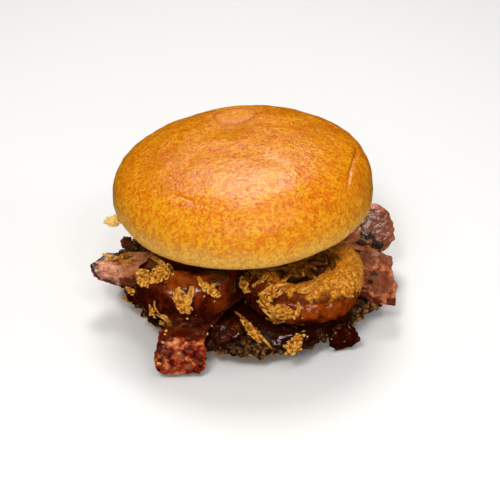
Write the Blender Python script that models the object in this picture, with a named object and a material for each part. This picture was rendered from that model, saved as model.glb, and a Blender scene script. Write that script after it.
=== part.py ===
# Barbecue bacon burger with two battered onion rings, in metres, +Z up.
# The front faces -Y. The origin is the middle of the underside of the bounding box.
import math

import bmesh
import bpy
from mathutils import Matrix, Vector, noise
from mathutils.bvhtree import BVHTree

OBJECT_NAME = "bacon_onion_ring_burger"

# Sides around and bands from pole to pole of the rounded pieces
CROWN_DETAIL = (44, 18)
HEEL_DETAIL = (36, 10)
PATTY_DETAIL = (72, 16)
COAT_DETAIL = (26, 11)
POOL_DETAIL = (14, 8)
FLAKE_DETAIL = (10, 6)
HEAP_DETAIL = (26, 8)
TUFT_DETAIL = (12, 8)
LUMP_DETAIL = (10, 6)
# Height on the unit sphere that counts as its equator
EQUATOR = 0.001

# Bun crown: a low brioche dome, slightly higher on its right
CROWN_RADIUS = 0.0566
CROWN_WIDEST_Z = 0.0515
CROWN_RISE = 0.0264
CROWN_DROP = 0.0092
CROWN_CUT_Z = 0.0424
CROWN_UPPER_POWER = 2.75
CROWN_LOWER_POWER = 2.7
CROWN_LEAN_X = 0.135
CROWN_LEAN_Y = -0.05
CROWN_ROLL = math.radians(1.2)
DIMPLE_X = -0.006
DIMPLE_Y = 0.012
DIMPLE_RADIUS = 0.0095
DIMPLE_DEPTH = 0.0013
# Tucks in the lower edge of the crown: direction and width in degrees, depth in metres
CROWN_TUCKS = ((-158, 16, 0.0026), (-52, 18, 0.0018), (-20, 12, 0.0014))

# Bun heel: the thin lower half, hidden from the front by the patty
HEEL_RADIUS = 0.0495
HEEL_HEIGHT = 0.0110
HEEL_POWER = 3.4

# Beef patty: smashed thin, ragged, its rim drooping over the heel
PATTY_X = 0.0035
PATTY_RADIUS = 0.0592
PATTY_TOP_Z = 0.0196
PATTY_BOTTOM_Z = 0.0114
PATTY_RIM_DROOP = 0.0062
PATTY_TOP_DROOP = 0.0030
PATTY_POWER = 4.6
PATTY_RAGGED = 0.0019
PATTY_DIP_X = -0.023
PATTY_DIP_Y = -0.049
PATTY_DIP_RADIUS = 0.019
PATTY_DIP_DEPTH = 0.0019
# Tongues of meat past the rim: direction and width in degrees, length in metres
PATTY_TONGUES = ((-96, 5, 0.0026), (-86, 6, 0.0034), (-73, 4, 0.0030), (-48, 14, -0.0012),
                 (-24, 7, 0.0042), (-147, 14, -0.0018), (8, 10, 0.0020), (60, 12, 0.0022),
                 (118, 10, 0.0026), (165, 8, 0.0020))

# Bacon rashers
BACON_THICKNESS = 0.0020
BACON_STEPS = 32
BACON_CROSS_STEPS = 5
BACON_NORMAL_SMOOTHINGS = 3

# Onion rings: centre-line radius, tube half-width and half-height, tilt towards the front,
# direction of the longer way across, how much longer it is, and how much fatter the tube is that way
LEFT_RING = {"centre": Vector((-0.0229, -0.0362, 0.0313)), "radius": 0.0120, "tube": (0.0097, 0.0097),
             "tilt": math.radians(8), "long_way": math.radians(10), "stretch": 0.02, "swell": 0.0,
             "phase": 1.1}
RIGHT_RING = {"centre": Vector((0.0256, -0.0318, 0.0306)), "radius": 0.0171, "tube": (0.0087, 0.0084),
              "tilt": math.radians(11), "long_way": math.radians(28), "stretch": 0.07, "swell": 0.10,
              "phase": 4.0}
RING_BACK_THINNING = 0.18
RING_BUMP = 0.0005
RING_STEPS = 36
RING_TUBE_STEPS = 14

# Clearance between pieces that lie on each other
GAP = 0.0004

# Direction from the food towards someone who looks down on its front by 32 degrees
LOOK_DOWN = math.radians(32)
TO_VIEWER = Vector((0, -math.cos(LOOK_DOWN), math.sin(LOOK_DOWN)))
VIEW_RIGHT = Vector((1, 0, 0))
VIEW_UP = Vector((0, math.sin(LOOK_DOWN), math.cos(LOOK_DOWN)))
VIEW_CENTRE = Vector((0, 0, 0.038))


def clear_scene():
    for item in list(bpy.data.objects):
        bpy.data.objects.remove(item, do_unlink=True)


def make_material(name, colour, roughness):
    material = bpy.data.materials.new(name)
    material.use_nodes = True
    shader = material.node_tree.nodes["Principled BSDF"]
    shader.inputs["Base Color"].default_value = (*colour, 1)
    shader.inputs["Roughness"].default_value = roughness
    shader.inputs["Metallic"].default_value = 0
    material.diffuse_color = (*colour, 1)
    return material


def add_object(name, bm, material):
    mesh = bpy.data.meshes.new(name)
    bm.to_mesh(mesh)
    bm.free()
    mesh.shade_smooth()
    mesh.materials.append(material)
    item = bpy.data.objects.new(name, mesh)
    bpy.data.collections[OBJECT_NAME].objects.link(item)
    return item


def smooth_step(value):
    value = min(max(value, 0.0), 1.0)
    return value * value * (3 - 2 * value)


def bell(offset, width):
    return math.exp(-((offset / width) ** 2))


def angle_between(first, second):
    return (first - second + 180) % 360 - 180


def ruffle(point, cell, shift=0.0):
    return noise.noise(Vector(point) / cell + Vector((shift, shift * 0.7, -shift)))


def trees_of(items):
    return [BVHTree.FromObject(item, bpy.context.evaluated_depsgraph_get()) for item in items]


def ray_distance(trees, start, direction, reach):
    nearest = reach
    for tree in trees:
        found = tree.ray_cast(start, direction, reach)
        if found[0] is not None:
            nearest = min(nearest, found[3])
    return nearest


def shaped_sphere(detail, place):
    bm = bmesh.new()
    bmesh.ops.create_uvsphere(bm, u_segments=detail[0], v_segments=detail[1], radius=1)
    for vertex in bm.verts:
        vertex.co = place(vertex.co.copy())
    return bm


def shaped_lens(detail, place):
    """A shaped sphere whose upper and lower skins have the same triangles, so that they can't cross."""
    bm = bmesh.new()
    bmesh.ops.create_uvsphere(bm, u_segments=detail[0], v_segments=detail[1], radius=1)
    bmesh.ops.delete(bm, geom=[vertex for vertex in bm.verts if vertex.co.z < -EQUATOR], context="VERTS")
    bmesh.ops.triangulate(bm, faces=bm.faces)
    bmesh.ops.mirror(bm, geom=bm.verts[:] + bm.edges[:] + bm.faces[:], axis="Z", merge_dist=EQUATOR)
    bmesh.ops.recalc_face_normals(bm, faces=bm.faces)
    for vertex in bm.verts:
        vertex.co = place(vertex.co.copy())
    return bm


def squircle(direction, power):
    """Share of the full radius and of the full height for a direction on the unit sphere."""
    side = math.hypot(direction.x, direction.y)
    return side ** (2 / power), abs(direction.z) ** (2 / power)


# Bun
def crown_point(direction):
    heading = math.atan2(direction.y, direction.x)
    power = CROWN_UPPER_POWER if direction.z >= 0 else CROWN_LOWER_POWER
    reach, height = squircle(direction, power)
    radius = CROWN_RADIUS * (1 + 0.006 * math.sin(2 * heading + 0.6) + 0.004 * math.sin(5 * heading))
    if direction.z < 0:
        tucks = sum(depth * bell(angle_between(math.degrees(heading), at), width)
                    for at, width, depth in CROWN_TUCKS)
        radius -= tucks * smooth_step(height * 3)
    x = radius * reach * math.cos(heading)
    y = radius * reach * math.sin(heading)
    if direction.z >= 0:
        lean = 1 + CROWN_LEAN_X * x / CROWN_RADIUS + CROWN_LEAN_Y * y / CROWN_RADIUS
        z = CROWN_WIDEST_Z + CROWN_RISE * height * lean
        away = math.hypot(x - DIMPLE_X, (y - DIMPLE_Y) * 1.1)
        z -= DIMPLE_DEPTH * bell(away, DIMPLE_RADIUS)
        z += 0.0006 * ruffle((x, y, 0), 0.022) * height
    else:
        z = max(CROWN_WIDEST_Z - CROWN_DROP * height, CROWN_CUT_Z)
    return Vector((x, y, z))


def make_crown(material):
    bm = shaped_sphere(CROWN_DETAIL, crown_point)
    pivot = Vector((0, 0, CROWN_WIDEST_Z))
    bmesh.ops.rotate(bm, verts=bm.verts, cent=pivot, matrix=Matrix.Rotation(-CROWN_ROLL, 3, "Y"))
    return add_object("bun_crown", bm, material)


def heel_point(direction):
    heading = math.atan2(direction.y, direction.x)
    reach, height = squircle(direction, HEEL_POWER)
    radius = HEEL_RADIUS * (1 + 0.008 * math.sin(3 * heading + 1))
    middle = HEEL_HEIGHT * 0.45
    if direction.z >= 0:
        z = middle + (HEEL_HEIGHT - middle) * height
    else:
        z = max(middle - 1.15 * middle * height, 0)
    return Vector((radius * reach * math.cos(heading), radius * reach * math.sin(heading), z))


def make_heel(material):
    return add_object("bun_heel", shaped_sphere(HEEL_DETAIL, heel_point), material)


# Patty
def patty_rim(heading):
    degrees = math.degrees(heading)
    tongues = sum(length * bell(angle_between(degrees, at), width) for at, width, length in PATTY_TONGUES)
    around = (math.cos(heading), math.sin(heading), 0)
    ragged = PATTY_RAGGED * (ruffle(around, 0.13) + ruffle(around, 0.3, 5))
    return PATTY_RADIUS + tongues + ragged


def patty_point(direction):
    heading = math.atan2(direction.y, direction.x)
    reach, height = squircle(direction, PATTY_POWER)
    rim = patty_rim(heading)
    outward = rim * reach
    x = PATTY_X + outward * math.cos(heading)
    y = outward * math.sin(heading)
    droop = smooth_step((math.hypot(x, y) - 0.046) / 0.0105)
    top = PATTY_TOP_Z - PATTY_TOP_DROOP * smooth_step((outward - 0.049) / 0.010)
    top -= PATTY_DIP_DEPTH * bell(math.hypot(x - PATTY_DIP_X, y - PATTY_DIP_Y), PATTY_DIP_RADIUS)
    bottom = PATTY_BOTTOM_Z - PATTY_RIM_DROOP * droop
    middle = (top + bottom) / 2
    roughness = 0.0009 * smooth_step((outward - 0.044) / 0.012)
    if direction.z >= 0:
        z = middle + (top - middle) * height + roughness * (ruffle((x, y, 0), 0.004) - 0.4)
    else:
        z = middle - (middle - bottom) * height + roughness * (ruffle((x, y, 0), 0.004, 9) - 0.2) * droop
    ragged = 0.0011 * ruffle((x, y, z * 1.6), 0.0042, 3) * (1 - height ** 2)
    return Vector((x + ragged * math.cos(heading), y + ragged * math.sin(heading), z))


def make_patty(material):
    return add_object("beef_patty", shaped_sphere(PATTY_DETAIL, patty_point), material)


# Bacon
def spline_point(points, share):
    """Catmull-Rom curve through the points, share 0 to 1."""
    last = len(points) - 1
    place = share * last
    index = min(int(place), last - 1)
    t = place - index
    before = points[max(index - 1, 0)]
    start = points[index]
    end = points[index + 1]
    after = points[min(index + 2, last)]
    return [0.5 * (2 * b + (c - a) * t + (2 * a - 5 * b + 4 * c - d) * t * t
                   + (3 * b - a - 3 * c + d) * t ** 3)
            for a, b, c, d in zip(before, start, end, after)]


def push_clear(bm, trees, gap):
    """Lift each vertex along its normal until the sheet clears what lies under it, without sharp steps."""
    reach = 0.012
    bm.normal_update()
    lifts = {}
    for vertex in bm.verts:
        start = vertex.co + vertex.normal * reach
        lifts[vertex] = max(reach - ray_distance(trees, start, -vertex.normal, reach * 1.2) + gap, 0)
    around = {vertex: [edge.other_vert(vertex) for edge in vertex.link_edges] for vertex in bm.verts}
    lifts = {vertex: max([lifts[vertex]] + [lifts[other] for other in near])
             for vertex, near in around.items()}
    lifts = {vertex: max(lifts[vertex], sum(lifts[other] for other in near) / len(near))
             for vertex, near in around.items()}
    for vertex, lift in lifts.items():
        vertex.co += vertex.normal * lift


def thicken(bm, thickness):
    """Turn a sheet into a solid whose upper skin lies off it along normals averaged over their neighbours."""
    bm.normal_update()
    normals = {vertex: vertex.normal.copy() for vertex in bm.verts}
    for _ in range(BACON_NORMAL_SMOOTHINGS):
        summed = {vertex: sum((normals[edge.other_vert(vertex)] for edge in vertex.link_edges), normal)
                  for vertex, normal in normals.items()}
        normals = {vertex: normal.normalized() for vertex, normal in summed.items()}
    offsets = {tuple(vertex.co): normal * thickness for vertex, normal in normals.items()}
    copied = bmesh.ops.extrude_face_region(bm, geom=bm.faces[:], use_keep_orig=True)["geom"]
    for vertex in copied:
        if isinstance(vertex, bmesh.types.BMVert):
            vertex.co += offsets[tuple(vertex.co)]
    bmesh.ops.triangulate(bm, faces=bm.faces)
    bmesh.ops.recalc_face_normals(bm, faces=bm.faces)


def make_rasher(name, stations, wave, supports, material):
    """A strip of bacon. A station is x, y, z, half-width, and the rise of its far edge, in mm."""
    bm = bmesh.new()
    bmesh.ops.create_grid(bm, x_segments=BACON_STEPS, y_segments=BACON_CROSS_STEPS, size=0.5)
    step = 0.01
    for vertex in bm.verts:
        share = vertex.co.x + 0.5
        across = vertex.co.y * 2
        x, y, z, half_width, rise = spline_point(stations, share)
        ahead = spline_point(stations, min(share + step, 1))
        behind = spline_point(stations, max(share - step, 0))
        along = Vector((ahead[0] - behind[0], ahead[1] - behind[1], 0)).normalized()
        side = Vector((-along.y, along.x, 0))
        edge_wave = 1 + 0.07 * noise.noise(Vector((share * 14, across * 2, wave)))
        offset = half_width * across * edge_wave
        ripple = 1.6 * (share - 0.5) ** 2 * math.sin(share * 31 + across * 1.3 + wave)
        point = Vector((x, y, z + ripple)) + side * offset + Vector((0, 0, rise * across))
        vertex.co = point / 1000
    bmesh.ops.recalc_face_normals(bm, faces=bm.faces)
    if sum(face.normal.z for face in bm.faces) < 0:
        bmesh.ops.reverse_faces(bm, faces=bm.faces)
    push_clear(bm, trees_of(supports), GAP)
    thicken(bm, BACON_THICKNESS)
    return add_object(name, bm, material)


# Left tip to right front corner
LOWER_RASHER = ((-66.0, -15.4, 20.8, 3.0, 0.5), (-62.5, -14.8, 20.8, 6.8, 1.4),
                (-54, -13.4, 20.4, 10.3, 1.8), (-40, -13, 20.0, 11.5, 0.6), (-18, -13, 20.0, 12, 0),
                (8, -13, 20.0, 12, 0), (32, -14, 20.0, 12, 0.4), (47, -16, 19.6, 12.2, 2.2),
                (56, -17.1, 18.6, 12.6, 4.2), (61.0, -17.8, 17.6, 12.6, 5.2), (66.0, -17.7, 16.8, 11.4, 4.8))

# Front left tail, over the rim, under the left ring, across to the right rear
UPPER_RASHER = ((-25.8, -63.9, 2.8, 7.4, 0), (-25.8, -63.6, 6.0, 10.2, 0), (-25.8, -62.6, 11.0, 10.6, 0),
                (-25.6, -60.0, 15.0, 10.2, 0), (-24.5, -54, 16.6, 9.8, 0), (-20, -44, 18.2, 10.4, 0),
                (-8, -28, 20.0, 11, 0), (8, -13, 22.2, 11.5, 0), (26, 0, 22.0, 12, 0),
                (42, 10, 20.8, 12.6, 0.8), (54, 15.5, 21.4, 13.2, 3.8), (62.0, 17.5, 22.4, 11.8, 4.8),
                (68.0, 18.4, 22.6, 6.6, 2.8))


# Onion rings
def ring_point(ring, around, about, lift):
    """A point around a ring's centre-line, about its tube from outside over the top, and lifted off it."""
    thinning = 1 - RING_BACK_THINNING * smooth_step(0.5 + 0.5 * math.sin(around))
    wobble = 1 + 0.03 * math.sin(3 * around + ring["phase"]) + 0.015 * math.sin(7 * around)
    wobble += ring["swell"] * math.cos(around - ring["long_way"])
    crumb = Vector((math.cos(around) * 4, math.sin(around) * 4, about * 1.6 + ring["phase"]))
    bump = RING_BUMP * noise.noise(crumb)
    half_width = ring["tube"][0] * thinning * wobble + bump + lift
    half_height = ring["tube"][1] * thinning * wobble + bump + lift
    centre_line = ring["radius"] * (1 + ring["stretch"] * math.cos(2 * (around - ring["long_way"])))
    outward = centre_line + half_width * math.cos(about)
    local = Vector((outward * math.cos(around), outward * math.sin(around), half_height * math.sin(about)))
    return ring["centre"] + Matrix.Rotation(ring["tilt"], 3, "X") @ local


def make_ring(name, ring, material):
    bpy.ops.mesh.primitive_torus_add(major_segments=RING_STEPS, minor_segments=RING_TUBE_STEPS,
                                     major_radius=1, minor_radius=0.5)
    primitive = bpy.context.object
    bm = bmesh.new()
    bm.from_mesh(primitive.data)
    bpy.data.objects.remove(primitive, do_unlink=True)
    for vertex in bm.verts:
        around = math.atan2(vertex.co.y, vertex.co.x)
        about = math.atan2(vertex.co.z, math.hypot(vertex.co.x, vertex.co.y) - 1)
        vertex.co = ring_point(ring, around, about, 0)
    return add_object(name, bm, material)


# Sauce on the rings: middle and half-span in degrees, around the ring and about its tube
LEFT_COAT = {"middle": (-104, 40), "span": (84, 74), "thick": 0.0016}
RIGHT_COAT = {"middle": (-106, -2), "span": (68, 40), "thick": 0.0016}


def make_coat(name, ring, coat, material):
    """Sauce on a ring: a lens in the ring's own angles, thick in the middle, with a wavy edge."""
    middle = [math.radians(value) for value in coat["middle"]]
    span = [math.radians(value) for value in coat["span"]]

    def place(direction):
        heading = math.atan2(direction.y, direction.x)
        square = (abs(math.cos(heading)) ** 3 + abs(math.sin(heading)) ** 3) ** (-1 / 3)
        wavy = 1 + 0.10 * math.sin(5 * heading + 1) + 0.06 * math.sin(9 * heading)
        around = middle[0] + direction.x * square * span[0]
        about = middle[1] + direction.y * square * wavy * span[1]
        lift = 2 * GAP
        if direction.z > 0:
            lift += coat["thick"] * direction.z ** 0.6
        return ring_point(ring, around, about, lift)
    return add_object(name, shaped_sphere(COAT_DETAIL, place), material)


# Pieces that lie on the others as seen from the front
PATCH_RAY_START = 0.12
PATCH_RAY_REACH = 0.3
PATCH_STEP = 0.004
PATCH_HEADINGS = 28
PATCH_SHARES = (0.2, 0.3, 0.4, 0.5, 0.6, 0.7, 0.8, 0.9, 1.0)
PATCH_SHARE_STEP = 0.12
PATCH_SAMPLES = ((0, 0), (0.5, 0), (-0.5, 0), (0, 0.5), (0, -0.5))


def on_view(x, up, depth):
    """A point x mm right of and up mm above the centre of the view, depth metres towards the viewer."""
    return VIEW_CENTRE + VIEW_RIGHT * x / 1000 + VIEW_UP * up / 1000 + TO_VIEWER * depth


def make_patch(name, patch, supports, material, detail):
    """A flat piece that settles on what it meets and, in each heading, stops short of a step up in it."""
    trees = trees_of(supports)
    centre_x, centre_up = patch["at"]
    long_half, short_half = patch["size"][0] / 2, patch["size"][1] / 2
    turn = math.radians(patch["turn"])
    sag = patch.get("sag", 0.0015)
    lean = patch.get("lean", 0.0)
    crinkle = patch.get("crinkle", 0.0)
    clearance = patch.get("clearance", 1.6 * GAP)
    feel = patch.get("feel", max(1.2, 0.16 * patch["size"][0]))
    seed = centre_x * 0.37 + centre_up

    def spread(along, across):
        x = centre_x + along * math.cos(turn) - across * math.sin(turn)
        return x, centre_up + along * math.sin(turn) + across * math.cos(turn)

    def height_at(x, up):
        start = on_view(x, up, PATCH_RAY_START)
        return PATCH_RAY_START - ray_distance(trees, start, -TO_VIEWER, PATCH_RAY_REACH)

    places = [spread(along * long_half, across * short_half) for along, across in PATCH_SAMPLES]
    main_height = sorted(height_at(x, up) for x, up in places)[patch.get("rank", -2)]

    def rest_height(x, up):
        met = [height_at(x + dx * feel, up + dy * feel)
               for dx, dy in ((0, 0), (1, 0), (-1, 0), (0, 1), (0, -1))]
        return max(met + [main_height - sag - lean * (centre_up - up) / 1000])

    def ragged_reach(heading):
        outline = Vector((math.cos(heading) * 1.7, math.sin(heading) * 1.7, seed))
        return 1 + patch["ragged"] * noise.noise(outline)

    def free_share(heading):
        free = PATCH_SHARES[0]
        for share in PATCH_SHARES:
            reach = ragged_reach(heading) * share
            spot = spread(math.cos(heading) * long_half * reach, math.sin(heading) * short_half * reach)
            if rest_height(*spot) > main_height + PATCH_STEP:
                break
            free = share
        return free

    turns = range(PATCH_HEADINGS)
    free_shares = [free_share(turn * math.tau / PATCH_HEADINGS) for turn in turns]
    slopes = [PATCH_SHARE_STEP * min(away, PATCH_HEADINGS - away) for away in turns]
    limits = [min(free_shares[(turn + away) % PATCH_HEADINGS] + slopes[away] for away in turns)
              for turn in turns]

    def place(direction):
        heading = math.atan2(direction.y, direction.x)
        position = heading / math.tau * PATCH_HEADINGS
        before = math.floor(position)
        after_share = position - before
        limit = limits[before % PATCH_HEADINGS] * (1 - after_share)
        limit += limits[(before + 1) % PATCH_HEADINGS] * after_share
        reach = ragged_reach(heading) * limit
        x, up = spread(direction.x * long_half * reach, direction.y * short_half * reach)
        lift = clearance + crinkle * (1 + noise.noise(Vector((x / 2.2, up / 2.2, seed))))
        if direction.z > 0:
            lift += patch["thick"] * direction.z ** 0.5
        return on_view(x, up, rest_height(x, up) + lift)
    return add_object(name, shaped_lens(detail, place), material)


# Sauce: place and size in mm in the view, turn in degrees, thickness in metres, and the rank
# among five heights met, lowest first, of the one that it lies on
SAUCE_POOLS = {
    "sauce_pool_left": {"at": (-45.4, -33.6), "size": (13.5, 9), "turn": -66, "thick": 0.0030,
                        "ragged": 0.2, "clearance": 0.0011, "rank": 1, "feel": 1.0},
    "sauce_drop_front": {"at": (-24.0, -44.2), "size": (13.5, 6.4), "turn": 2, "thick": 0.0022,
                         "ragged": 0.1},
    "sauce_drip_middle": {"at": (-7.2, -47.0), "size": (17, 10.5), "turn": 8, "thick": 0.0026,
                          "ragged": 0.2},
    "sauce_drip_right": {"at": (20.5, -49.2), "size": (19, 9), "turn": 12, "thick": 0.0022,
                         "ragged": 0.2},
    "sauce_flap_right": {"at": (40.0, -49.6), "size": (18.6, 13.0), "turn": -4, "thick": 0.0022,
                         "ragged": 0.3, "sag": 0.002, "lean": 0.55},
}

# Crispy onion flakes on the rings and the meat, named by where they lie
ONION_FLAKES = {
    "left_edge": {"at": (-41.0, -24.2), "size": (9.0, 6.4), "turn": -75},
    "left_large": {"at": (-34.6, -22.4), "size": (11.5, 8.2), "turn": 62},
    "left_forked": {"at": (-24.8, -33.6), "size": (13.0, 7.0), "turn": -68},
    "left_curl": {"at": (-14.2, -28.2), "size": (11.5, 5.0), "turn": -40},
    "middle_top": {"at": (0.6, -27.6), "size": (8.0, 4.0), "turn": -78},
    "right_twist": {"at": (10.6, -31.4), "size": (11.0, 5.4), "turn": 48},
    "right_loop": {"at": (16.4, -38.0), "size": (13.0, 6.0), "turn": -14},
    "right_pale": {"at": (12.8, -42.8), "size": (6.4, 3.4), "turn": 12},
    "front_long": {"at": (5.6, -48.2), "size": (22.0, 5.4), "turn": -48},
    "front_right": {"at": (21.6, -52.0), "size": (11.6, 6.6), "turn": 52, "clearance": 0.0016},
    "left_low": {"at": (-34.2, -42.0), "size": (8.4, 5.4), "turn": -24},
    "left_stem": {"at": (-37.6, -38.0), "size": (7.0, 2.4), "turn": -68},
    "left_rear": {"at": (-53.0, -16.0), "size": (8.4, 2.6), "turn": 14},
    "patty_edge": {"at": (-48.8, -30.6), "size": (5.4, 3.0), "turn": -28, "clearance": 0.0010},
}
FLAKE_LOOK = {"thick": 0.0013, "ragged": 0.5, "crinkle": 0.0006, "sag": 0.0022}


# Heaps of crispy onion
STRIP_CEILING_Z = CROWN_CUT_Z - 0.0009


def make_strip(start, bend, end, width, thickness, twist, trees=()):
    """A shred of onion: a flat strip along a curve from start over bend to end, lifted over the trees."""
    bm = bmesh.new()
    bmesh.ops.create_grid(bm, x_segments=5, y_segments=1, size=0.5)
    chord = (end - start).normalized()
    side = chord.cross(Vector((0, 0, 1)))
    side = side.normalized() if side.length > 0.01 else Vector((1, 0, 0))
    for vertex in bm.verts:
        share = vertex.co.x + 0.5
        spine = start * (1 - share) ** 2 + bend * 2 * share * (1 - share) + end * share ** 2
        turned = Matrix.Rotation(twist * (share - 0.3), 3, chord) @ side
        taper = 1 - 0.55 * abs(2 * share - 0.9)
        vertex.co = spine + turned * width * 2 * vertex.co.y * taper
        if trees:
            top = Vector((vertex.co.x, vertex.co.y, STRIP_CEILING_Z))
            floor = STRIP_CEILING_Z - ray_distance(trees, top, Vector((0, 0, -1)), 0.05)
            vertex.co.z = min(max(vertex.co.z, floor + thickness + GAP), STRIP_CEILING_Z)
    bmesh.ops.recalc_face_normals(bm, faces=bm.faces)
    bmesh.ops.solidify(bm, geom=bm.faces[:], thickness=thickness)
    if bm.calc_volume(signed=True) < 0:
        bmesh.ops.reverse_faces(bm, faces=bm.faces)
    return bm


def keep_largest_body(mesh):
    """Drop loose scraps and the skins of sealed hollows."""
    bm = bmesh.new()
    bm.from_mesh(mesh)
    left = set(bm.faces)
    bodies = []
    while left:
        front = [left.pop()]
        body = set(front)
        while front:
            linked = {other for edge in front.pop().edges for other in edge.link_faces} - body
            body |= linked
            front += linked
        left -= body
        bodies.append(body)
    largest = max(bodies, key=lambda body: sum(face.calc_area() for face in body))
    bmesh.ops.delete(bm, geom=[face for face in bm.faces if face not in largest], context="FACES")
    bm.to_mesh(mesh)
    bm.free()


def join_pieces(core, pieces):
    """Fuse loose pieces onto the core with one Boolean union."""
    cutters = bpy.data.collections.new(core.name + "_pieces")
    bpy.context.scene.collection.children.link(cutters)
    for index, bm in enumerate(pieces):
        mesh = bpy.data.meshes.new(f"{core.name}_piece_{index}")
        bm.to_mesh(mesh)
        bm.free()
        cutters.objects.link(bpy.data.objects.new(mesh.name, mesh))
    union = core.modifiers.new("fused", "BOOLEAN")
    union.operation = "UNION"
    union.operand_type = "COLLECTION"
    union.collection = cutters
    union.solver = "EXACT"
    evaluated = core.evaluated_get(bpy.context.evaluated_depsgraph_get())
    fused = bpy.data.meshes.new_from_object(evaluated)
    keep_largest_body(fused)
    core.modifiers.clear()
    core.data = fused
    for item in list(cutters.objects):
        bpy.data.objects.remove(item, do_unlink=True)
    bpy.data.collections.remove(cutters)
    return core


HEAP_CENTRE = Vector((0, 0.0180, 0))
HEAP_TOP_Z = 0.0419
HEAP_MIDDLE_Z = 0.0330
HEAP_STRIPS = 15
HEAP_FEELERS = [(0, 0)] + [(0.0065 * math.cos(turn * math.pi / 4), 0.0065 * math.sin(turn * math.pi / 4))
                           for turn in range(8)]


def heap_rim(heading):
    behind = 0.5 + 0.5 * math.sin(heading)
    reach = 0.0195 + 0.0115 * behind + 0.0235 * abs(math.cos(heading)) ** 1.5
    return reach + 0.0016 * math.sin(6 * heading + 1) + 0.001 * math.sin(11 * heading)


def make_heap(supports, material):
    trees = trees_of(supports)
    down = Vector((0, 0, -1))

    def place(direction):
        heading = math.atan2(direction.y, direction.x)
        reach, height = squircle(direction, 3.2)
        outward = heap_rim(heading) * reach
        x = HEAP_CENTRE.x + outward * math.cos(heading)
        y = HEAP_CENTRE.y + outward * math.sin(heading)
        if direction.z > -0.05:
            top = HEAP_TOP_Z + x * math.tan(CROWN_ROLL)
            return Vector((x, y, HEAP_MIDDLE_Z + (top - HEAP_MIDDLE_Z) * height))
        floor = 0.0
        for dx, dy in HEAP_FEELERS:
            start = Vector((x + dx, y + dy, HEAP_TOP_Z))
            floor = max(floor, HEAP_TOP_Z - ray_distance(trees, start, down, 0.05))
        floor = min(floor + GAP, HEAP_MIDDLE_Z - 0.001)
        return Vector((x, y, HEAP_MIDDLE_Z + (floor - HEAP_MIDDLE_Z) * height))

    core = add_object("crispy_onion_heap", shaped_sphere(HEAP_DETAIL, place), material)
    pieces = []
    for index in range(HEAP_STRIPS):
        heading = math.radians(-12 + 204 * (index + 0.3 * math.sin(index * 2.1)) / (HEAP_STRIPS - 1))
        if 2 < math.degrees(heading) < 34:
            continue
        rim = heap_rim(heading)
        out = Vector((math.cos(heading), math.sin(heading), 0))
        side = Vector((-out.y, out.x, 0))
        level = 0.0300 + 0.0085 * (0.5 + 0.5 * math.sin(index * 1.9))
        slant = 0.006 * math.sin(index * 2.7)
        start = HEAP_CENTRE + out * (rim - 0.006) - side * slant + Vector((0, 0, level))
        bend = HEAP_CENTRE + out * (rim + 0.003) + side * slant + Vector((0, 0, level + 0.001))
        end = HEAP_CENTRE + out * (rim + 0.0035) + side * slant * 2 + Vector((0, 0, level - 0.004))
        pieces.append(make_strip(start, bend, end, 0.0015, 0.0010, math.sin(index * 1.3)))
    return join_pieces(core, pieces)


# Tangles of shreds between the rings and the crown: middle, half-sizes, reach of the shreds,
# first and last direction in degrees, and how much further the shreds reach to the left
TUFTS = {
    "crispy_onion_tuft_right": {"centre": Vector((0.0225, -0.0330, 0.0336)),
                                "radii": (0.0064, 0.0060, 0.0046), "reach": 0.0135,
                                "directions": (130, 400), "leftward": 0.55, "count": 8},
    "crispy_onion_tuft_middle": {"centre": Vector((0.0002, -0.0195, 0.0345)),
                                 "radii": (0.0044, 0.0050, 0.0040), "reach": 0.0100,
                                 "directions": (205, 335), "leftward": 0, "count": 4},
}


def make_tuft(name, tuft, supports, material):
    """A tangle of onion shreds: a small lump with shreds that arch out of it."""
    centre = tuft["centre"]
    radii = tuft["radii"]
    count = tuft["count"]
    trees = trees_of(supports)

    def place(direction):
        lump = 1 + 0.12 * noise.noise(direction * 2.3 + centre * 100)
        return centre + Vector([part * radius * lump for part, radius in zip(direction, radii)])

    core = add_object(name, shaped_sphere(TUFT_DETAIL, place), material)
    pieces = []
    first, last = tuft["directions"]
    for index in range(count):
        heading = math.radians(first + (last - first) * index / (count - 1))
        out = Vector((math.cos(heading), math.sin(heading), 0))
        leftward = 1 + tuft["leftward"] * max(-out.x, 0)
        length = tuft["reach"] * leftward * (0.86 + 0.14 * math.sin(index * 2.4))
        rise = radii[2] * (0.62 + 0.24 * math.sin(index * 1.7))
        start = centre + out * radii[0] * 0.55 + Vector((0, 0, radii[2] * 0.3))
        bend = centre + out * length * 0.55 + Vector((0, 0, rise * 1.5))
        end = centre + out * length + Vector((0, 0, rise))
        pieces.append(make_strip(start, bend, end, 0.0012, 0.0009, 0.4 * math.sin(index * 1.3), trees))
    return join_pieces(core, pieces)


# Loose bits
def make_lump(name, centre, radii, turn, material, rough=0.25):
    """A small uneven lump, such as a crumb or a curled end of bacon."""
    spin = Matrix.Rotation(math.radians(turn[0]), 3, "Z") @ Matrix.Rotation(math.radians(turn[1]), 3, "X")

    def place(direction):
        size = 1 + rough * noise.noise(direction * 1.8 + centre * 90)
        local = Vector((direction.x * radii[0], direction.y * radii[1], direction.z * radii[2])) * size
        return centre + spin @ local
    return add_object(name, shaped_sphere(LUMP_DETAIL, place), material)


def centre_on_box(items):
    """Put the middle of the underside of the whole at the origin."""
    bpy.context.view_layer.update()
    corners = []
    for item in items:
        evaluated = item.evaluated_get(bpy.context.evaluated_depsgraph_get())
        corners += [item.matrix_world @ vertex.co for vertex in evaluated.data.vertices]
    low = Vector([min(corner[axis] for corner in corners) for axis in range(3)])
    high = Vector([max(corner[axis] for corner in corners) for axis in range(3)])
    shift = Vector((-(low.x + high.x) / 2, -(low.y + high.y) / 2, -low.z))
    for item in items:
        item.location += shift
    print("shift to the box centre, mm:", [round(value * 1000, 2) for value in shift])


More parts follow.
